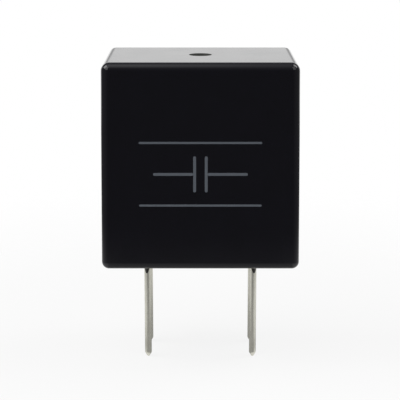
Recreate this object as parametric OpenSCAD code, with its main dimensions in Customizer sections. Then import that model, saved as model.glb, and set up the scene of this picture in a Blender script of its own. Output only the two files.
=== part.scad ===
// Box-type film capacitor for a printed circuit board.
// Two flattened film elements are cast in resin inside a moulded case that is open underneath,
// and four round wire leads come out of the resin straight down.
// Millimetres, +Z up, front towards -Y. The origin is the centre of the seating plane, where the
// rim of the case meets the board.

/* [Case] */
// Width at the widest place, just above the rounded rim
case_w = 41.5; // [39:0.5:60]
// Depth at the deepest place, just above the rounded rim
case_d = 30; // [26:0.5:45]
// Height from the rim to the top
case_h = 43.5; // [32:0.5:60]
// Draft of each wall, in degrees, narrowing to the top
case_draft = 0.48; // [0:0.02:1]
// Radius of the outside edges at the rim
case_edge_r = 1.5; // [0.6:0.1:1.7]
// Radius of the outside edges at the top
case_top_edge_r = 1.8; // [0.6:0.1:2.4]
// Thickness of the side walls
case_wall = 2; // [1.8:0.1:2.6]
// Thickness of the top
case_top_t = 2; // [1.4:0.1:3]
// Radius of the edges of the cavity
cavity_edge_r = 0.8; // [0.4:0.1:2]

/* [Moulding gate] */
// Diameter of the round recess in the middle of the top
gate_d = 4.8; // [3:0.1:8]
// Depth of the recess
gate_depth = 0.6; // [0.3:0.05:1]
// How far the wall of the recess slopes inwards on its way to the floor
gate_slope = 0.2; // [0.05:0.05:0.5]
// Diameter of the broken-off sprue in the recess
sprue_d = 1.3; // [0.6:0.1:2]
// Height of the broken-off sprue
sprue_h = 0.3; // [0.1:0.05:0.6]

/* [Leads] */
// Diameter of the wire
lead_d = 1.5; // [0.8:0.1:1.6]
// Distance between the left and right leads
lead_pitch_x = 22.9; // [15:0.1:25]
// Distance between the front and rear leads
lead_pitch_y = 10.2; // [7.5:0.1:15]
// Length below the seating plane
lead_len = 22.4; // [5:0.1:35]
// Length of the chamfer at the tip
lead_tip_len = 0.9; // [0.2:0.1:2]
// Diameter left flat at the tip
lead_tip_d = 0.5; // [0.3:0.1:0.8]
// Bend radius at the centre line of the wire
lead_bend_r = 2; // [1.2:0.1:2.4]
// Length of the straight run along the end of the film element
lead_run_len = 14; // [9:0.5:20]

/* [Film elements] */
// Thickness of the sprayed metal on each end
spray_t = 0.6; // [0.3:0.1:1]
// Resin between the two elements
element_gap = 0.4; // [0.2:0.1:2]
// Resin between the elements and the walls and top of the cavity
element_clear = 0.4; // [0.2:0.1:2]
// Resin between the elements and the wires that cross below them
element_lift = 1.2; // [0.5:0.1:4]

/* [Solder joints] */
// Diameter of a solder joint where it wets the sprayed end
solder_d = 4.6; // [3:0.1:6]
// Solder between the wire and the sprayed end
solder_bed = 0.1; // [0.05:0.05:0.4]
// Solder over the wire
solder_cover = 0.15; // [0.1:0.05:0.5]
// Resin between a solder joint and the wall of the case
solder_clear = 0.35; // [0.2:0.05:1]
// Bare end of the wire above its solder joint
solder_wire_end = 1; // [0.5:0.1:3]

/* [Potting resin] */
// How far the face of the resin lies above the rim
resin_recess = 0.6; // [0.3:0.1:3]
// Radius of the meniscus where the resin wets the walls of the case
wall_meniscus_r = 0.5; // [0.2:0.05:0.6]
// Radius of the meniscus where the resin wets a lead
lead_meniscus_r = 0.4; // [0.2:0.05:0.5]
// How far a tongue of resin creeps down each lead below the seating plane
creep_len = 3.3; // [0.5:0.1:4.5]
// How far a tongue stands out from its lead where it leaves the face of the resin
creep_root_t = 0.41; // [0.2:0.01:0.6]
// How far a tongue stands out from its lead at its lower end
creep_tip_t = 0.01; // [0.01:0.01:0.2]
// How far the axis of a tongue lies off the axis of its lead
creep_offset = 0.27; // [0.2:0.01:0.35]
// Direction of that offset, in degrees to the outside from straight to the front or rear
creep_turn = 14; // [0:2:80]

/* [Hidden] */
// Step to which worked-out lengths are rounded
drawing_grid = 0.01;
// How far a cut runs past the face that it opens
cut_over = 1;
// How far the round of a meniscus runs past the faces that it joins, so that it ends in an edge
wetting_edge = 0.03;
// Sides of the curves that a hull blends
blend_fn = 32;
// Sides of the other curves
round_fn = 64;

left = -1;
right = 1;
front = -1;
rear = 1;

// A worked-out length on the drawing grid, so that pieces which meet share one exact number
function on_grid(x) = round(x / drawing_grid) * drawing_grid;
// Half of an outside size of the case at height z on its drafted walls
function outer_half(size, z) = size / 2 - (z - case_edge_r) * tan(case_draft);
// Half of an inside size of the case at height z
function inner_half(size, z) = outer_half(size, z) - case_wall;

ceiling_z = case_h - case_top_t;
// The cavity is drawn on down through the open rim, to this height
mouth_z = -cut_over - cavity_edge_r;

// The film elements fill the cavity, measured at its narrow upper end, apart from their clearances
solder_h = solder_bed + lead_d + solder_cover;
spray_x = on_grid(inner_half(case_w, ceiling_z) - solder_clear - solder_h);
film_w = 2 * (spray_x - spray_t);
element_t = on_grid(inner_half(case_d, ceiling_z) - element_clear - element_gap / 2);
element_y = (element_gap + element_t) / 2;

// Heights along a formed lead, from the face of the resin upwards
lead_cross_z = resin_recess + lead_bend_r;
lead_run_z = lead_cross_z + lead_bend_r;
lead_top_z = lead_run_z + lead_run_len;
lead_exit_x = lead_pitch_x / 2;
lead_run_x = spray_x + solder_bed + lead_d / 2;

element_bottom_z = lead_cross_z + lead_d / 2 + element_lift;
element_top_z = ceiling_z - element_clear;
solder_z = lead_top_z - solder_wire_end - solder_d / 2;

// Disc of radius r with a rounded edge, drawn with true poles, so that a hull of such discs has its
// exact size. It is a ball where the edge takes up the whole radius.
module blend_disc(r, edge_r) {
    rotate_extrude($fn = blend_fn)
        intersection() {
            translate([r - edge_r, 0]) circle(edge_r, $fn = blend_fn);
            translate([0, -edge_r]) square([r, 2 * edge_r]);
        }
}

// Four copies of the children, one in each corner of a rectangle of these half sizes
module at_corners(half_x, half_y, z) {
    for (sx = [left, right], sy = [front, rear])
        translate([sx * half_x, sy * half_y, z]) children();
}

// Balls that round the outside corners of the case at height z
module case_corners(z, r) {
    at_corners(outer_half(case_w, z) - r, outer_half(case_d, z) - r, z)
        blend_disc(r, r);
}

// Outside of the case: a drafted block with every edge rounded
module case_block() {
    hull() {
        case_corners(case_edge_r, case_edge_r);
        case_corners(case_h - case_top_edge_r, case_top_edge_r);
    }
}

// Inside of the case, from below the rim: drafted walls, rounded uprights and a rounded ceiling edge
module cavity() {
    r = cavity_edge_r;
    hull()
        for (z = [mouth_z, ceiling_z - r])
            at_corners(inner_half(case_w, z) - r, inner_half(case_d, z) - r, z)
                blend_disc(r, r);
}

// Recess in the top, with the stub of the sprue left standing on its floor
module gate_recess() {
    wall_r = gate_d / 2;
    floor_r = wall_r - gate_slope;
    over_r = wall_r + gate_slope * cut_over / gate_depth;
    translate([0, 0, case_h - gate_depth])
        rotate_extrude($fn = round_fn)
            polygon([
                [0, sprue_h],
                [sprue_d / 2, sprue_h],
                [sprue_d / 2, 0],
                [floor_r, 0],
                [over_r, gate_depth + cut_over],
                [0, gate_depth + cut_over],
            ]);
}

module case_shell() {
    color("#18171b")
        difference() {
            case_block();
            cavity();
            gate_recess();
        }
}

// Flattened roll of the given length along X, on the front or rear half of the cavity
module roll(row, length) {
    flat_h = element_top_z - element_bottom_z - element_t;
    translate([-length / 2, row * element_y, (element_top_z + element_bottom_z) / 2])
        rotate([90, 0, 90])
            linear_extrude(length) {
                square([element_t, flat_h], center = true);
                for (end = [-1, 1])
                    translate([0, end * flat_h / 2]) circle(d = element_t, $fn = round_fn);
            }
}

module film_element(row) {
    color("#c9ccd1") roll(row, film_w);
}

module end_spray(side, row) {
    color("#8f9296")
        translate([side * (film_w + spray_t) / 2, 0, 0]) roll(row, spray_t);
}

// Quarter bend of the wire, from straight out along X to straight up along Y
module wire_bend() {
    rotate_extrude(angle = 90, $fn = round_fn)
        translate([lead_bend_r, 0]) circle(d = lead_d, $fn = round_fn);
}

// Straight length of wire along +Z
module wire(length) {
    cylinder(d = lead_d, h = length, $fn = round_fn);
}

// Wire of one lead on the right-hand side, in the plane of its bends
module formed_wire() {
    straight_len = lead_len - lead_tip_len + resin_recess;
    translate([lead_exit_x, 0, -lead_len])
        cylinder(d1 = lead_tip_d, d2 = lead_d, h = lead_tip_len, $fn = round_fn);
    translate([lead_exit_x, 0, lead_tip_len - lead_len]) wire(straight_len);
    translate([lead_exit_x + lead_bend_r, 0, resin_recess])
        rotate([90, 0, 0]) rotate(90) wire_bend();
    translate([lead_exit_x + lead_bend_r, 0, lead_cross_z])
        rotate([0, 90, 0]) wire(lead_run_x - lead_exit_x - 2 * lead_bend_r);
    translate([lead_run_x - lead_bend_r, 0, lead_run_z])
        rotate([90, 0, 0]) rotate(270) wire_bend();
    translate([lead_run_x, 0, lead_run_z]) wire(lead_run_len);
}

// The children, built on the right-hand side, at their side and row
module at_lead(side, row) {
    translate([0, row * lead_pitch_y / 2, 0])
        mirror([side == left ? 1 : 0, 0, 0]) children();
}

module lead(side, row) {
    color("#b9b6ae") at_lead(side, row) formed_wire();
}

// Domed drop of solder on the sprayed end, before the wire is taken out of it
module solder_drop() {
    base_r = solder_d / 2;
    ball_r = (base_r * base_r + solder_h * solder_h) / (2 * solder_h);
    translate([spray_x, 0, solder_z])
        rotate([0, 90, 0])
            rotate_extrude($fn = round_fn)
                intersection() {
                    translate([0, solder_h - ball_r]) circle(ball_r, $fn = round_fn);
                    square(2 * ball_r);
                }
}

module solder_joint(side, row) {
    color("#a9a9a6")
        at_lead(side, row)
            difference() {
                solder_drop();
                translate([lead_run_x, 0, lead_run_z]) wire(lead_run_len);
            }
}

// Air below the face of the resin. Its rounded upper edge leaves a meniscus along the walls.
module air_below() {
    r = cavity_edge_r;
    edge_r = min(wall_meniscus_r, resin_recess, r);
    inset = r - wetting_edge;
    hull()
        for (z = [mouth_z - r, resin_recess - edge_r])
            at_corners(inner_half(case_w, z) - inset, inner_half(case_d, z) - inset, z)
                blend_disc(r, edge_r);
}

// Ring of resin that wets a lead where it leaves the face of the resin
module lead_meniscus() {
    r = min(lead_meniscus_r, resin_recess);
    ring_r = lead_d / 2 + r;
    translate([lead_exit_x, 0, resin_recess])
        rotate_extrude($fn = round_fn)
            difference() {
                translate([0, -r]) square([ring_r, r]);
                translate([ring_r, -r]) circle(r + wetting_edge, $fn = round_fn);
            }
}

// Tongue of resin on the outer side of a lead, rooted in the face of the resin
module creep_tongue(row) {
    flush_r = lead_d / 2 - creep_offset;
    tip_r = flush_r + creep_tip_t;
    root_r = flush_r + creep_root_t;
    translate([lead_exit_x, 0, -creep_len])
        rotate(row * (90 - creep_turn))
            translate([creep_offset, 0, 0])
                cylinder(r1 = tip_r, r2 = root_r, h = creep_len + resin_recess, $fn = round_fn);
}

module potting_resin() {
    color("#2a2a22")
        difference() {
            union() {
                difference() {
                    cavity();
                    air_below();
                }
                for (side = [left, right], row = [front, rear])
                    at_lead(side, row) {
                        lead_meniscus();
                        creep_tongue(row);
                    }
            }
            for (row = [front, rear]) {
                roll(row, film_w + 2 * spray_t);
                for (side = [left, right])
                    at_lead(side, row) {
                        solder_drop();
                        formed_wire();
                    }
            }
        }
}

case_shell();  // case
potting_resin();
film_element(front);  // film_element_front
film_element(rear);  // film_element_rear
end_spray(left, front);  // end_spray_front_left
end_spray(right, front);  // end_spray_front_right
end_spray(left, rear);  // end_spray_rear_left
end_spray(right, rear);  // end_spray_rear_right
solder_joint(left, front);  // solder_front_left
solder_joint(right, front);  // solder_front_right
solder_joint(left, rear);  // solder_rear_left
solder_joint(right, rear);  // solder_rear_right
lead(left, front);  // lead_front_left
lead(right, front);  // lead_front_right
lead(left, rear);  // lead_rear_left
lead(right, rear);  // lead_rear_right
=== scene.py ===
"""Looks of a box-type film capacitor: moulded black case, dark cast resin and tinned wire leads.

Metres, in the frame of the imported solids: +Z up, front towards -Y, rim of the case at z = 0.
"""

import math

import bmesh
import bpy
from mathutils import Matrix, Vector, noise


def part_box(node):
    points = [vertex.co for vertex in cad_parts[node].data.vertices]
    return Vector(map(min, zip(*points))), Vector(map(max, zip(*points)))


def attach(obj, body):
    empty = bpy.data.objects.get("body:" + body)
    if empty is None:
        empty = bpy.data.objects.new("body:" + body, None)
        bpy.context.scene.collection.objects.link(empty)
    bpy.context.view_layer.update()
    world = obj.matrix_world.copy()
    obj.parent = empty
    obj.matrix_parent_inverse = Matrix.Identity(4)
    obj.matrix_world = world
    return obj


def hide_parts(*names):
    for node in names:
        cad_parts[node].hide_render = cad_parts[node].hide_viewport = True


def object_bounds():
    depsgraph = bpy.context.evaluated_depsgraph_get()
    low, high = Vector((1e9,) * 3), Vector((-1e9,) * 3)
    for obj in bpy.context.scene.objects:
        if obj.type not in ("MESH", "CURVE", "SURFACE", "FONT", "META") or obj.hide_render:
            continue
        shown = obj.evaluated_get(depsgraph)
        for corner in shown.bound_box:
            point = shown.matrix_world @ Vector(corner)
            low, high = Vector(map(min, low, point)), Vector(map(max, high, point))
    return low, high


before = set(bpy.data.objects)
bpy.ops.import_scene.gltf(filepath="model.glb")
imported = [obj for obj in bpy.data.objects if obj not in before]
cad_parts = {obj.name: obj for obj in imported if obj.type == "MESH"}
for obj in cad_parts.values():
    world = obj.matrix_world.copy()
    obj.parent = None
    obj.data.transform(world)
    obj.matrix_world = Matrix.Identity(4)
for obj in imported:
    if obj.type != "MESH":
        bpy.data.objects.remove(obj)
cad_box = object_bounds()

MM = 0.001

# Case, at the sizes of its solid
case_low, case_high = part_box("case")
CASE_W = case_high.x - case_low.x
CASE_D = case_high.y - case_low.y
CASE_H = case_high.z
CASE_DRAFT = math.radians(0.48)
CASE_EDGE_R = 1.5 * MM
CASE_TOP_EDGE_R = 1.8 * MM
CASE_WALL = 2.0 * MM
CASE_TOP = 2.0 * MM
CAVITY_EDGE_R = 0.8 * MM
RIM_EDGE_R = 0.15 * MM

# Recess of the moulding gate in the top, with the broken-off sprue in it
GATE_R = 2.4 * MM
GATE_DEPTH = 0.6 * MM
GATE_SLOPE = 0.2 * MM
GATE_EDGE_R = 0.08 * MM
GATE_FILLET_R = 0.15 * MM
SPRUE_R = 0.65 * MM
SPRUE_H = 0.3 * MM
# Broken end of the sprue: how rough it is, its bumps per radius, and the rings of its mesh
SPRUE_BREAK = 0.08 * MM
SPRUE_BUMPS = 1.7
SPRUE_RINGS = (1.0, 0.95, 0.8, 0.6, 0.4, 0.2)

# Leads. Their other sizes come from the boxes of their solids.
LEAD_BEND_R = 2.0 * MM
# Rise above the end in millimetres, and share of the radius there
LEAD_TIP = ((0, 0.05), (0, 0.22), (0.02, 0.29), (0.06, 0.345), (0.12, 0.40),
            (0.45, 0.66), (0.76, 0.89), (0.84, 0.945), (0.92, 0.98), (1.04, 1.0))
# Ripple of the tin: its depth, its waves per radius round the wire and per millimetre along it, and
# the step that gives the left and right leads different ripples
RIPPLE = 0.004 * MM
RIPPLE_ROUND = 0.8
RIPPLE_ALONG = 0.5
RIPPLE_STEP = 7.3
RESIN_FACE_Z = 0.6 * MM

# Marking on the front
MARKING_T = 0.01 * MM
SYMBOL_Z = 20.5 * MM
SYMBOL_W = 19.0 * MM
PLATE_H = 7.0 * MM
PLATE_GAP = 2.4 * MM
STROKE = 0.6 * MM
RULE_W = 25.0 * MM
RULE_RISE = 6.6 * MM
RULE_T = 0.45 * MM

# Fineness of the meshes
ARC_STEPS = 16
WIRE_SIDES = 48
WIRE_STEPS = 60
WELD = 0.0005 * MM
SHARP_EDGE = math.radians(50)

# The photograph's camera
IMAGE_PX = 400
FOCAL_PX = 1377.0
SENSOR_MM = 36.0
CAMERA_AT = Vector((-0.086, -293.38, 79.40)) * MM
CAMERA_PITCH = math.radians(13.004)
CAMERA_NEAR = 10 * MM

# Sockets of a mix node: its factor, then its two values and its result, as numbers or as colours
FACTOR = 0
NUMBER_A, NUMBER_B, NUMBER_OUT = 2, 3, 0
COLOUR_A, COLOUR_B, COLOUR_OUT = 6, 7, 2

# Levels between which most of a noise texture lies
NOISE_LOW, NOISE_HIGH = 0.3, 0.7

# Paper under the object. Each pair of limits is where a fade starts and where it ends, in metres.
FLOOR_R = 0.175
FLOOR_SIDES = 96
FLOOR_EDGE = (FLOOR_R, 0.055)
FLOOR_FRONT = (-0.165, 0.01)
# Share of plain white in the paper, for the camera and for reflections. The rest is lit paper.
FLOOR_GLOW_SEEN = 0.85
FLOOR_GLOW_REFLECTED = 0.45
# For all rays but the camera's, the paper near the object has a painted shade, apart from a patch of
# painted light at each front lead that reaches from the lead outwards
PAINTED_SHADE_SIDE = (0.030, 0.018)
PAINTED_SHADE_LEVEL = 0.45
PAINTED_LIGHT_Y = -0.0052
PAINTED_LIGHT_EDGE = (0.0026, 0.0012)
PAINTED_LIGHT_SIDE = (0.0098, 0.0112)
PAINTED_LIGHT_GLOW = 0.65

# Room round the object. Each pair of limits is a part of a direction, where a fade starts and ends.
# It grows lighter towards the ceiling and the side walls, and a panel glows above, towards the left.
ROOM_LOW = 0.09
ROOM_HIGH = 0.26
ROOM_RISE = (0.3, 0.95)
ROOM_SIDE = 0.07
ROOM_SIDE_LIMITS = (0.3, 0.9)
OVERHEAD_SIDE = (0.14, -0.14)
OVERHEAD_BACK = (0.40, 0.05)
OVERHEAD_RISE = (0.70, 1.02)
OVERHEAD_LEVEL = 0.82
# White backdrop behind the object, with a shaded fold where it meets the table
BACKDROP_SIDE = (0.50, 0.75)
BACKDROP_FOOT = (math.sin(math.radians(-10)), math.sin(math.radians(-8)))
BACKDROP_HEAD = (math.sin(math.radians(22)), math.sin(math.radians(15)))
FOLD_Z = math.sin(math.radians(2.6))
FOLD_EDGE = (math.sin(math.radians(1)), math.sin(math.radians(4.2)))
FOLD_LEVEL = 0.40

# Softboxes: place in metres, width and height in metres, watts
SOFTBOXES = {
    "left_softbox": ((-0.46, -0.02, 0.48), 0.36, 0.36, 1.43),
    "right_softbox": ((0.40, 0.08, 0.50), 0.30, 0.40, 1.13),
    "front_left_softbox": ((-0.46, -0.46, 0.60), 0.50, 0.60, 1.22),
    "front_right_softbox": ((0.46, -0.46, 0.60), 0.50, 0.60, 0.85),
}


# Meshes

def outer_half(size, z):
    """Half of an outside size of the case at height z on its drafted walls."""
    return size / 2 - (z - CASE_EDGE_R) * math.tan(CASE_DRAFT)


def corner_ring(centre_x, centre_y, radius, z):
    """Points round a rectangle of corner centres, with an arc of this radius at each corner."""
    points = []
    for corner, (sx, sy) in enumerate(((1, 1), (-1, 1), (-1, -1), (1, -1))):
        for step in range(ARC_STEPS + 1):
            turn = math.radians(90) * (corner + step / ARC_STEPS)
            x = sx * centre_x + radius * math.cos(turn)
            y = sy * centre_y + radius * math.sin(turn)
            points.append(Vector((x, y, z)))
    return points


def round_angles(start, stop):
    """Angles in radians over a round, from one angle to another in degrees."""
    return [math.radians(start + (stop - start) * step / ARC_STEPS) for step in range(ARC_STEPS + 1)]


def skin(name, rings):
    """Closed mesh object over a row of rings of equal length, capped at both ends."""
    mesh_builder = bmesh.new()
    rows = [[mesh_builder.verts.new(point) for point in ring] for ring in rings]
    for below, above in zip(rows, rows[1:]):
        for here in range(len(below)):
            there = (here + 1) % len(below)
            mesh_builder.faces.new((below[here], below[there], above[there], above[here]))
    mesh_builder.faces.new(reversed(rows[0]))
    mesh_builder.faces.new(rows[-1])
    bmesh.ops.remove_doubles(mesh_builder, verts=mesh_builder.verts, dist=WELD)
    return new_object(name, mesh_builder)


def new_object(name, mesh_builder):
    """Smooth-shaded object of a finished mesh, in the scene."""
    mesh = bpy.data.meshes.new(name)
    mesh_builder.to_mesh(mesh)
    mesh_builder.free()
    mesh.shade_smooth()
    mesh.set_sharp_from_angle(angle=SHARP_EDGE)
    piece = bpy.data.objects.new(name, mesh)
    bpy.context.scene.collection.objects.link(piece)
    return piece


def cavity_rings():
    """Inside of the case, from its ceiling down to the rounded edge of the rim."""
    ceiling = CASE_H - CASE_TOP
    inset = CASE_WALL + CAVITY_EDGE_R
    round_z = ceiling - CAVITY_EDGE_R
    half_x = outer_half(CASE_W, round_z) - inset
    half_y = outer_half(CASE_D, round_z) - inset
    rings = []
    for rise in round_angles(90, math.degrees(CASE_DRAFT)):
        radius = CAVITY_EDGE_R * math.cos(rise)
        rings.append(corner_ring(half_x, half_y, radius, round_z + CAVITY_EDGE_R * math.sin(rise)))
    half_x = outer_half(CASE_W, RIM_EDGE_R) - inset
    half_y = outer_half(CASE_D, RIM_EDGE_R) - inset
    for turn in round_angles(0, 90):
        radius = CAVITY_EDGE_R + RIM_EDGE_R * (1 - math.cos(turn))
        rings.append(corner_ring(half_x, half_y, radius, RIM_EDGE_R * (1 - math.sin(turn))))
    return rings


def outside_rings():
    """Outside of the case, from the foot of its rim up to its flat top."""
    rings = []
    side = math.degrees(CASE_DRAFT)
    for round_z, edge_r, start, stop in ((CASE_EDGE_R, CASE_EDGE_R, -90, side),
                                         (CASE_H - CASE_TOP_EDGE_R, CASE_TOP_EDGE_R, side, 90)):
        half_x = outer_half(CASE_W, round_z) - edge_r
        half_y = outer_half(CASE_D, round_z) - edge_r
        for rise in round_angles(start, stop):
            radius = edge_r * math.cos(rise)
            rings.append(corner_ring(half_x, half_y, radius, round_z + edge_r * math.sin(rise)))
    return rings


def gate_rings():
    """Recess of the gate, from its mouth in the top to the broken end of the sprue."""
    floor = CASE_H - GATE_DEPTH
    floor_r = GATE_R - GATE_SLOPE
    profile = []
    for turn in round_angles(0, 90):
        out = GATE_R + GATE_EDGE_R - GATE_EDGE_R * math.sin(turn)
        profile.append((out, CASE_H - GATE_EDGE_R + GATE_EDGE_R * math.cos(turn)))
    for turn in round_angles(0, 90):
        out = floor_r - GATE_FILLET_R + GATE_FILLET_R * math.cos(turn)
        profile.append((out, floor + GATE_FILLET_R - GATE_FILLET_R * math.sin(turn)))
    for turn in round_angles(0, 90):
        out = SPRUE_R + GATE_FILLET_R - GATE_FILLET_R * math.sin(turn)
        profile.append((out, floor + GATE_FILLET_R - GATE_FILLET_R * math.cos(turn)))
    rings = [corner_ring(0, 0, out, z) for out, z in profile]
    for share in SPRUE_RINGS:
        ring = corner_ring(0, 0, SPRUE_R * share, floor + SPRUE_H)
        for point in ring:
            point.z += SPRUE_BREAK * noise.noise(point / SPRUE_R * SPRUE_BUMPS)
        rings.append(ring)
    return rings


def make_case():
    """The moulded case, one closed shell from the ceiling of its cavity to the gate in its top."""
    case = skin("case_moulding", cavity_rings() + outside_rings() + gate_rings())
    shading = case.modifiers.new("flat faces stay flat", "WEIGHTED_NORMAL")
    shading.keep_sharp = True
    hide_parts("case")
    return case


def lead_stations(low, high):
    """Centre, tilt and radius of the wire along one lead, in the plane of its bends, tip first."""
    radius = (high.y - low.y) / 2
    exit_x = min(abs(low.x), abs(high.x)) + radius
    run_x = max(abs(low.x), abs(high.x)) - radius
    stations = []
    for rise, share in LEAD_TIP:
        stations.append((exit_x, low.z + rise * MM, 0.0, radius * share))
    first = stations[-1][1]
    for step in range(1, WIRE_STEPS + 1):
        z = first + (RESIN_FACE_Z - first) * step / WIRE_STEPS
        stations.append((exit_x, z, 0.0, radius))
    for turn in round_angles(0, 90):
        x = exit_x + LEAD_BEND_R * (1 - math.cos(turn))
        stations.append((x, RESIN_FACE_Z + LEAD_BEND_R * math.sin(turn), turn, radius))
    for turn in round_angles(90, 0):
        x = run_x - LEAD_BEND_R * (1 - math.sin(turn))
        stations.append((x, RESIN_FACE_Z + LEAD_BEND_R * (2 - math.cos(turn)), turn, radius))
    stations.append((run_x, high.z, 0.0, radius))
    return stations


def make_lead(node):
    """One formed wire with a chamfered tip. Its surface has the slight ripple of a dipped coat."""
    low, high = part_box(node)
    row_y = (low.y + high.y) / 2
    side = math.copysign(1, low.x + high.x)
    offset = Vector((side * RIPPLE_STEP, row_y / MM, 0))
    rings = []
    for x, z, tilt, radius in lead_stations(low, high):
        ring = []
        for step in range(WIRE_SIDES):
            turn = math.radians(360) * step / WIRE_SIDES
            across, along = math.cos(turn), math.sin(turn)
            spot = Vector((across * RIPPLE_ROUND, along * RIPPLE_ROUND, z / MM * RIPPLE_ALONG)) + offset
            reach = radius - RIPPLE * (1 + noise.noise(spot))
            px = x + reach * across * math.cos(tilt)
            pz = z - reach * across * math.sin(tilt)
            ring.append(Vector((side * px, row_y + side * reach * along, pz)))
        rings.append(ring)
    lead = skin(node + "_wire", rings)
    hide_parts(node)
    return lead


def bar_outline(x0, z0, x1, z1, width):
    """Outline of a straight stroke with round ends."""
    heading = math.atan2(z1 - z0, x1 - x0)
    reach = width / 2
    outline = []
    for x, z, start in ((x1, z1, -90), (x0, z0, 90)):
        for turn in round_angles(start, start + 180):
            outline.append((x + reach * math.cos(heading + turn), z + reach * math.sin(heading + turn)))
    return outline


def marking_outlines():
    """A plain circuit symbol of two plates between two rules."""
    plate_x = PLATE_GAP / 2
    low, high = SYMBOL_Z - PLATE_H / 2, SYMBOL_Z + PLATE_H / 2
    outlines = []
    for side in (-1, 1):
        outlines.append(bar_outline(side * plate_x, low, side * plate_x, high, STROKE))
        wire_x = side * (plate_x + STROKE)
        outlines.append(bar_outline(wire_x, SYMBOL_Z, side * SYMBOL_W / 2, SYMBOL_Z, STROKE))
        rule_z = SYMBOL_Z + side * RULE_RISE
        outlines.append(bar_outline(-RULE_W / 2, rule_z, RULE_W / 2, rule_z, RULE_T))
    return outlines


def make_marking():
    """The marking, a thin layer on the drafted front face."""
    mesh_builder = bmesh.new()
    lift = Vector((0, -math.cos(CASE_DRAFT), math.sin(CASE_DRAFT))) * MARKING_T
    for outline in marking_outlines():
        base = [Vector((x, -outer_half(CASE_D, z), z)) for x, z in outline]
        back = [mesh_builder.verts.new(point - lift) for point in base]
        face = [mesh_builder.verts.new(point + lift) for point in base]
        mesh_builder.faces.new(face)
        mesh_builder.faces.new(reversed(back))
        for here in range(len(base)):
            there = (here + 1) % len(base)
            mesh_builder.faces.new((back[here], back[there], face[there], face[here]))
    bmesh.ops.remove_doubles(mesh_builder, verts=mesh_builder.verts, dist=WELD)
    marking = new_object("front_marking", mesh_builder)
    return marking


# Materials

def linear(hex_colour):
    """Linear RGBA of an sRGB hex colour."""
    channels = [int(hex_colour[place:place + 2], 16) / 255 for place in (1, 3, 5)]
    return [c / 12.92 if c <= 0.04045 else ((c + 0.055) / 1.055) ** 2.4 for c in channels] + [1.0]


def add_node(tree, kind, inputs=None, **settings):
    """Adds a node with its settings. Each input takes a value, or a link where it is given an output."""
    node = tree.nodes.new(kind)
    for name, value in settings.items():
        setattr(node, name, value)
    for socket, value in (inputs or {}).items():
        if isinstance(value, bpy.types.NodeSocket):
            tree.links.new(value, node.inputs[socket])
        else:
            node.inputs[socket].default_value = value
    return node


def new_material(name):
    """Empty material with its node tree and the object's own coordinates in metres."""
    material = bpy.data.materials.new(name)
    material.use_nodes = True
    tree = material.node_tree
    tree.nodes.clear()
    return material, tree, add_node(tree, "ShaderNodeTexCoord").outputs["Object"]


def finish_material(tree, inputs):
    """Principled surface with these inputs on the material's output."""
    surface = add_node(tree, "ShaderNodeBsdfPrincipled", inputs)
    add_node(tree, "ShaderNodeOutputMaterial", {"Surface": surface.outputs["BSDF"]})


def per_mm(size_mm):
    """Texture scale at which one feature is this many millimetres across."""
    return 1 / (size_mm * MM)


def moulded_pbt():
    """PBT filled with carbon black, moulded in a polished tool: a deep black with a glossy skin.

    A faint grain breaks up reflections a little, and the skin is unevenly glossy over some millimetres.
    The real grain is finer. It is drawn 0.22 mm wide, so that it shows.
    A thin resin-rich skin adds shine at low angles. The IOR under it is a little below PBT's 1.55, so that
    both together reflect as PBT does when seen straight on.
    The recess of the gate, where the sprue tore off, is matt and a little lighter, and has no such skin.
    """
    material, tree, place = new_material("moulded black PBT")
    flow = add_node(tree, "ShaderNodeTexNoise", {"Vector": place, "Scale": per_mm(5), "Detail": 3.0})
    grain = add_node(tree, "ShaderNodeTexNoise", {"Vector": place, "Scale": per_mm(0.22), "Detail": 2.0})
    colour = add_node(tree, "ShaderNodeMix", {
        FACTOR: flow.outputs["Fac"], COLOUR_A: linear("#0f0e16"), COLOUR_B: linear("#14131d"),
    }, data_type="RGBA")
    gloss = add_node(tree, "ShaderNodeMapRange", {
        "Value": flow.outputs["Fac"], "From Min": NOISE_LOW, "From Max": NOISE_HIGH,
        "To Min": 0.06, "To Max": 0.10,
    })
    bump = add_node(tree, "ShaderNodeBump", {
        "Height": grain.outputs["Fac"], "Strength": 0.5, "Distance": 0.0015 * MM,
    })
    # The recess of the gate lies round the middle axis
    across = add_node(tree, "ShaderNodeVectorMath", {0: place, 1: (1.0, 1.0, 0.0)}, operation="MULTIPLY")
    reach = add_node(tree, "ShaderNodeVectorMath", {0: across.outputs["Vector"]}, operation="LENGTH")
    in_gate = add_node(tree, "ShaderNodeMath", {
        0: reach.outputs["Value"], 1: GATE_R + GATE_EDGE_R / 2,
    }, operation="LESS_THAN").outputs["Value"]
    skin_colour = add_node(tree, "ShaderNodeMix", {
        FACTOR: in_gate, COLOUR_A: colour.outputs[COLOUR_OUT], COLOUR_B: linear("#464845"),
    }, data_type="RGBA")
    skin_gloss = add_node(tree, "ShaderNodeMix", {
        FACTOR: in_gate, NUMBER_A: gloss.outputs["Result"], NUMBER_B: 0.6,
    })
    skin_coat = add_node(tree, "ShaderNodeMix", {FACTOR: in_gate, NUMBER_A: 0.2, NUMBER_B: 0.0})
    finish_material(tree, {
        "Base Color": skin_colour.outputs[COLOUR_OUT], "Roughness": skin_gloss.outputs[NUMBER_OUT],
        "Normal": bump.outputs["Normal"], "IOR": 1.48,
        "Coat Weight": skin_coat.outputs[NUMBER_OUT], "Coat Roughness": 0.08,
    })
    return material


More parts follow.
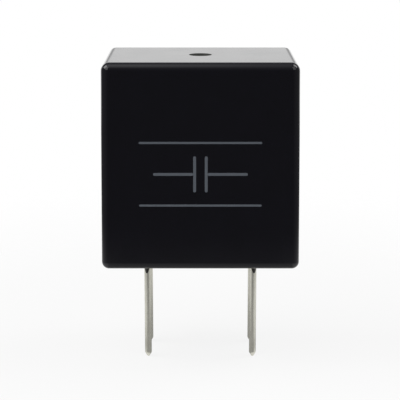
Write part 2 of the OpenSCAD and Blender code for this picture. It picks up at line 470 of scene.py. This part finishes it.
def tinned_copper():
    """Copper wire with a hot-dipped tin coat: slightly warm bright grey, softly streaked along the wire.

    The streaks are finer on real wire. They are drawn 0.25 mm wide, so that they show.
    """
    material, tree, place = new_material("tinned copper wire")
    # About 17 times as long as wide
    drawn = add_node(tree, "ShaderNodeMapping", {"Vector": place, "Scale": (1.0, 1.0, 0.06)})
    streaks = add_node(tree, "ShaderNodeTexNoise", {
        "Vector": drawn.outputs["Vector"], "Scale": per_mm(0.25), "Detail": 3.0,
    })
    clouds = add_node(tree, "ShaderNodeTexNoise", {"Vector": place, "Scale": per_mm(1.2), "Detail": 2.0})
    colour = add_node(tree, "ShaderNodeMix", {
        FACTOR: clouds.outputs["Fac"], COLOUR_A: linear("#d6d4c7"), COLOUR_B: linear("#ebeadf"),
    }, data_type="RGBA")
    gloss = add_node(tree, "ShaderNodeMapRange", {
        "Value": streaks.outputs["Fac"], "From Min": NOISE_LOW, "From Max": NOISE_HIGH,
        "To Min": 0.22, "To Max": 0.36,
    })
    bump = add_node(tree, "ShaderNodeBump", {
        "Height": streaks.outputs["Fac"], "Strength": 0.4, "Distance": 0.006 * MM,
    })
    finish_material(tree, {
        "Base Color": colour.outputs[COLOUR_OUT], "Roughness": gloss.outputs["Result"],
        "Normal": bump.outputs["Normal"], "Metallic": 1.0,
    })
    return material


def cast_epoxy():
    """Dark olive epoxy, poured and cured in the case: glossy, with the slow waves of a cast surface.

    The mineral filler in it is finer. It is drawn as clouds 0.4 mm wide, so that it shows.
    """
    material, tree, place = new_material("cast epoxy")
    waves = add_node(tree, "ShaderNodeTexNoise", {"Vector": place, "Scale": per_mm(4), "Detail": 1.0})
    filler = add_node(tree, "ShaderNodeTexNoise", {"Vector": place, "Scale": per_mm(0.4), "Detail": 3.0})
    colour = add_node(tree, "ShaderNodeMix", {
        FACTOR: filler.outputs["Fac"], COLOUR_A: linear("#1b1b12"), COLOUR_B: linear("#29291d"),
    }, data_type="RGBA")
    gloss = add_node(tree, "ShaderNodeMapRange", {
        "Value": filler.outputs["Fac"], "From Min": NOISE_LOW, "From Max": NOISE_HIGH,
        "To Min": 0.14, "To Max": 0.26,
    })
    bump = add_node(tree, "ShaderNodeBump", {
        "Height": waves.outputs["Fac"], "Strength": 0.6, "Distance": 0.08 * MM,
    })
    finish_material(tree, {
        "Base Color": colour.outputs[COLOUR_OUT], "Roughness": gloss.outputs["Result"],
        "Normal": bump.outputs["Normal"], "IOR": 1.55,
    })
    return material


def laser_marked_pbt():
    """The case's own PBT, foamed by a laser: a matt, slightly bluish grey of fine speckles.

    The bubbles of the foam are finer. Its speckles are drawn 0.12 mm wide, so that they show.
    """
    material, tree, place = new_material("laser marked PBT")
    speckle = add_node(tree, "ShaderNodeTexNoise", {"Vector": place, "Scale": per_mm(0.12), "Detail": 2.0})
    colour = add_node(tree, "ShaderNodeMix", {
        FACTOR: speckle.outputs["Fac"], COLOUR_A: linear("#666d77"), COLOUR_B: linear("#828993"),
    }, data_type="RGBA")
    bump = add_node(tree, "ShaderNodeBump", {
        "Height": speckle.outputs["Fac"], "Strength": 0.5, "Distance": 0.01 * MM,
    })
    finish_material(tree, {
        "Base Color": colour.outputs[COLOUR_OUT], "Roughness": 0.7, "Normal": bump.outputs["Normal"],
        "IOR": 1.55,
    })
    return material


def metallised_film():
    """Wound polypropylene film with vapour-deposited aluminium: silver grey, finely lined by its turns.

    A turn is only some thousandths of a millimetre thick. It is drawn as a line 0.6 mm wide, so that
    it shows.
    """
    material, tree, place = new_material("metallised polypropylene film")
    # At scale 1, one line of a wave texture is about 1 / tau wide
    turns = add_node(tree, "ShaderNodeTexWave", {
        "Vector": place, "Scale": per_mm(0.6) / math.tau, "Distortion": 1.5, "Detail": 2.0,
    }, bands_direction="Y")
    colour = add_node(tree, "ShaderNodeMix", {
        FACTOR: turns.outputs["Fac"], COLOUR_A: linear("#a9adb4"), COLOUR_B: linear("#c9ccd1"),
    }, data_type="RGBA")
    bump = add_node(tree, "ShaderNodeBump", {
        "Height": turns.outputs["Fac"], "Strength": 0.4, "Distance": 0.02 * MM,
    })
    finish_material(tree, {
        "Base Color": colour.outputs[COLOUR_OUT], "Roughness": 0.3, "Normal": bump.outputs["Normal"],
        "Metallic": 1.0,
    })
    return material


def sprayed_zinc():
    """Zinc sprayed molten on the ends of the rolls: a dull grey crust of fine splashes.

    Real splashes are mostly finer. They are drawn 0.25 mm wide, so that they show.
    """
    material, tree, place = new_material("sprayed zinc")
    splashes = add_node(tree, "ShaderNodeTexVoronoi", {"Vector": place, "Scale": per_mm(0.25)})
    colour = add_node(tree, "ShaderNodeMix", {
        FACTOR: splashes.outputs["Distance"], COLOUR_A: linear("#7d8084"), COLOUR_B: linear("#a1a4a8"),
    }, data_type="RGBA")
    bump = add_node(tree, "ShaderNodeBump", {
        "Height": splashes.outputs["Distance"], "Strength": 0.8, "Distance": 0.05 * MM,
    })
    finish_material(tree, {
        "Base Color": colour.outputs[COLOUR_OUT], "Roughness": 0.65, "Normal": bump.outputs["Normal"],
        "Metallic": 1.0,
    })
    return material


def tin_solder():
    """Tin solder, set slowly: bright grey with a faintly frosted, uneven skin.

    Real frost is finer. It is drawn as clouds 0.5 mm wide, so that it shows.
    """
    material, tree, place = new_material("tin solder")
    frost = add_node(tree, "ShaderNodeTexNoise", {"Vector": place, "Scale": per_mm(0.5), "Detail": 4.0})
    colour = add_node(tree, "ShaderNodeMix", {
        FACTOR: frost.outputs["Fac"], COLOUR_A: linear("#9b9b98"), COLOUR_B: linear("#b7b7b3"),
    }, data_type="RGBA")
    gloss = add_node(tree, "ShaderNodeMapRange", {
        "Value": frost.outputs["Fac"], "From Min": NOISE_LOW, "From Max": NOISE_HIGH,
        "To Min": 0.2, "To Max": 0.45,
    })
    finish_material(tree, {
        "Base Color": colour.outputs[COLOUR_OUT], "Roughness": gloss.outputs["Result"], "Metallic": 1.0,
    })
    return material


# Studio

def fades(tree, limits):
    """Product of smooth steps, each from a low level to one between two limits of a value."""
    product = None
    for value, (start, stop), low in limits:
        step = add_node(tree, "ShaderNodeMapRange", {
            "Value": value, "From Min": start, "From Max": stop, "To Min": low, "To Max": 1.0,
        }, interpolation_type="SMOOTHSTEP").outputs["Result"]
        if product is None:
            product = step
        else:
            product = add_node(tree, "ShaderNodeMath", {
                0: product, 1: step,
            }, operation="MULTIPLY").outputs["Value"]
    return product


def away_from(tree, value, place):
    """How far a value lies from a place, on either side."""
    past = add_node(tree, "ShaderNodeMath", {0: value, 1: place}, operation="SUBTRACT").outputs["Value"]
    return add_node(tree, "ShaderNodeMath", {0: past}, operation="ABSOLUTE").outputs["Value"]


def ray_kinds(tree):
    """Whether a ray comes from the camera, and whether a surface of the object sent it on."""
    rays = add_node(tree, "ShaderNodeLightPath").outputs
    sent_on = add_node(tree, "ShaderNodeMath", {
        0: rays["Is Glossy Ray"], 1: rays["Is Transmission Ray"],
    }, operation="MAXIMUM")
    return rays["Is Camera Ray"], sent_on.outputs["Value"]


def white_paper():
    """Matt white paper with a faint tooth, drawn 0.6 mm wide, coarser than real, so that it shows.

    It thins out towards its edge and its front, and can be seen through from below. Near the object only
    the camera sees it white. Reflections show a painted shade there, with a patch of painted light at each
    front lead.
    """
    material, tree, place = new_material("white paper")
    tooth = add_node(tree, "ShaderNodeTexNoise", {"Vector": place, "Scale": per_mm(0.6), "Detail": 2.0})
    colour = add_node(tree, "ShaderNodeMix", {
        FACTOR: tooth.outputs["Fac"], COLOUR_A: linear("#f4f4f4"), COLOUR_B: linear("#fafafa"),
    }, data_type="RGBA")
    paper = add_node(tree, "ShaderNodeBsdfDiffuse", {"Color": colour.outputs[COLOUR_OUT]})
    clear = add_node(tree, "ShaderNodeBsdfTransparent")
    seen, reflected = ray_kinds(tree)
    reach = add_node(tree, "ShaderNodeVectorMath", {0: place}, operation="LENGTH").outputs["Value"]
    parts = add_node(tree, "ShaderNodeSeparateXYZ", {"Vector": place}).outputs
    depth = parts["Y"]
    aside = away_from(tree, parts["X"], 0.0)
    under = add_node(tree, "ShaderNodeNewGeometry").outputs["Backfacing"]
    # Painted light: a patch at each front lead, left out of the painted shade
    in_painted_light = fades(tree, (
        (away_from(tree, depth, PAINTED_LIGHT_Y), PAINTED_LIGHT_EDGE, 0.0),
        (aside, PAINTED_LIGHT_SIDE, 0.0), (aside, PAINTED_SHADE_SIDE, 0.0),
    ))
    near = fades(tree, ((in_painted_light, (1.0, 0.0), 0.0), (aside, PAINTED_SHADE_SIDE, 0.0)))
    # Painted shade: all rays but the camera's find the paper near the object thinned towards the dim room
    # below
    painted_shade = add_node(tree, "ShaderNodeMath", {
        0: near, 1: seen,
    }, operation="SUBTRACT", use_clamp=True).outputs["Value"]
    # The painted light patch glows brighter in reflections than the rest of the paper
    glow_level = add_node(tree, "ShaderNodeMath", {
        0: in_painted_light, 1: PAINTED_LIGHT_GLOW - FLOOR_GLOW_REFLECTED, 2: FLOOR_GLOW_REFLECTED,
    }, operation="MULTIPLY_ADD")
    in_mirror = add_node(tree, "ShaderNodeMath", {
        0: reflected, 1: glow_level.outputs["Value"],
    }, operation="MULTIPLY")
    glow = add_node(tree, "ShaderNodeMath", {
        0: seen, 1: FLOOR_GLOW_SEEN, 2: in_mirror.outputs["Value"],
    }, operation="MULTIPLY_ADD")
    white = add_node(tree, "ShaderNodeEmission", {"Strength": 1.0})
    sheet = add_node(tree, "ShaderNodeMixShader", {
        0: glow.outputs["Value"], 1: paper.outputs["BSDF"], 2: white.outputs["Emission"],
    })
    body = fades(tree, (
        (reach, FLOOR_EDGE, 0.0), (depth, FLOOR_FRONT, 0.0), (painted_shade, (1.0, 0.0), PAINTED_SHADE_LEVEL),
        (under, (1.0, 0.0), 0.0),
    ))
    mix = add_node(tree, "ShaderNodeMixShader", {
        0: body, 1: clear.outputs["BSDF"], 2: sheet.outputs["Shader"],
    })
    add_node(tree, "ShaderNodeOutputMaterial", {"Surface": mix.outputs["Shader"]})
    return material


def make_floor():
    """Round sheet of paper under the tips of the leads."""
    mesh_builder = bmesh.new()
    bmesh.ops.create_circle(mesh_builder, cap_ends=True, radius=FLOOR_R, segments=FLOOR_SIDES)
    floor = new_object("floor", mesh_builder)
    floor.location.z = cad_box[0].z
    floor.data.materials.append(white_paper())


def make_world():
    """Dim room with a glowing panel overhead and a white backdrop behind the object.

    The camera sees the white everywhere. Reflections see the backdrop where it stands.
    """
    world = bpy.data.worlds.new("studio")
    bpy.context.scene.world = world
    world.use_nodes = True
    tree = world.node_tree
    tree.nodes.clear()
    seen, reflected = ray_kinds(tree)
    direction = add_node(tree, "ShaderNodeTexCoord").outputs["Generated"]
    parts = add_node(tree, "ShaderNodeSeparateXYZ", {"Vector": direction}).outputs
    backdrop = fades(tree, (
        (parts["Y"], BACKDROP_SIDE, 0.0), (parts["Z"], BACKDROP_FOOT, 0.0),
        (away_from(tree, parts["Z"], FOLD_Z), FOLD_EDGE, FOLD_LEVEL), (parts["Z"], BACKDROP_HEAD, 0.0),
    ))
    room = add_node(tree, "ShaderNodeMapRange", {
        "Value": parts["Z"], "From Min": ROOM_RISE[0], "From Max": ROOM_RISE[1],
        "To Min": ROOM_LOW, "To Max": ROOM_HIGH,
    })
    at_side = fades(tree, ((away_from(tree, parts["X"], 0.0), ROOM_SIDE_LIMITS, 0.0),))
    walls = add_node(tree, "ShaderNodeMath", {
        0: at_side, 1: ROOM_SIDE, 2: room.outputs["Result"],
    }, operation="MULTIPLY_ADD")
    overhead = fades(tree, (
        (parts["X"], OVERHEAD_SIDE, 0.0), (parts["Y"], OVERHEAD_BACK, 0.0),
        (parts["Z"], OVERHEAD_RISE, 0.0),
    ))
    ceiling = add_node(tree, "ShaderNodeMath", {
        0: overhead, 1: OVERHEAD_LEVEL, 2: walls.outputs["Value"],
    }, operation="MULTIPLY_ADD")
    shown = add_node(tree, "ShaderNodeMath", {0: reflected, 1: backdrop}, operation="MULTIPLY")
    white = add_node(tree, "ShaderNodeMath", {0: seen, 1: shown.outputs["Value"]}, operation="MAXIMUM")
    level = add_node(tree, "ShaderNodeMix", {
        FACTOR: white.outputs["Value"], NUMBER_A: ceiling.outputs["Value"], NUMBER_B: 1.0,
    })
    background = add_node(tree, "ShaderNodeBackground", {
        "Color": (1.0, 1.0, 1.0, 1.0), "Strength": level.outputs[NUMBER_OUT],
    })
    add_node(tree, "ShaderNodeOutputWorld", {"Surface": background.outputs["Background"]})


def make_softbox(name, at, width, height, watts):
    """Rectangular soft light that faces the middle of the case."""
    lamp = bpy.data.lights.new(name, "AREA")
    lamp.shape = "RECTANGLE"
    lamp.size = width
    lamp.size_y = height
    lamp.energy = watts
    holder = bpy.data.objects.new(name, lamp)
    bpy.context.scene.collection.objects.link(holder)
    holder.location = at
    aim = Vector((0, 0, CASE_H / 2)) - holder.location
    holder.rotation_euler = aim.to_track_quat("-Z", "Y").to_euler()


def make_camera():
    """Camera at the photograph's viewing angle."""
    lens = bpy.data.cameras.new("camera")
    lens.sensor_width = SENSOR_MM
    lens.lens = FOCAL_PX / IMAGE_PX * SENSOR_MM
    lens.clip_start = CAMERA_NEAR
    camera = bpy.data.objects.new("camera", lens)
    bpy.context.scene.collection.objects.link(camera)
    camera.location = CAMERA_AT
    camera.rotation_euler = (math.radians(90) - CAMERA_PITCH, 0, 0)
    bpy.context.scene.camera = camera


LEADS = [f"lead_{row}_{side}" for row in ("front", "rear") for side in ("left", "right")]

make_camera()
make_floor()
make_world()
for name, softbox in SOFTBOXES.items():
    make_softbox(name, *softbox)

finishes = [(make_case(), moulded_pbt()), (make_marking(), laser_marked_pbt())]
wire = tinned_copper()
finishes += [(make_lead(node), wire) for node in LEADS]
for piece, material in finishes:
    piece.data.materials.append(material)
    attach(piece, "root")

cad_finishes = {
    "potting_resin": cast_epoxy(),
    "film_element": metallised_film(),
    "end_spray": sprayed_zinc(),
    "solder": tin_solder(),
}
for node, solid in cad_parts.items():
    for kind, material in cad_finishes.items():
        if node.startswith(kind):
            solid.data.materials.clear()
            solid.data.materials.append(material)

bpy.context.scene.view_settings.view_transform = "Standard"
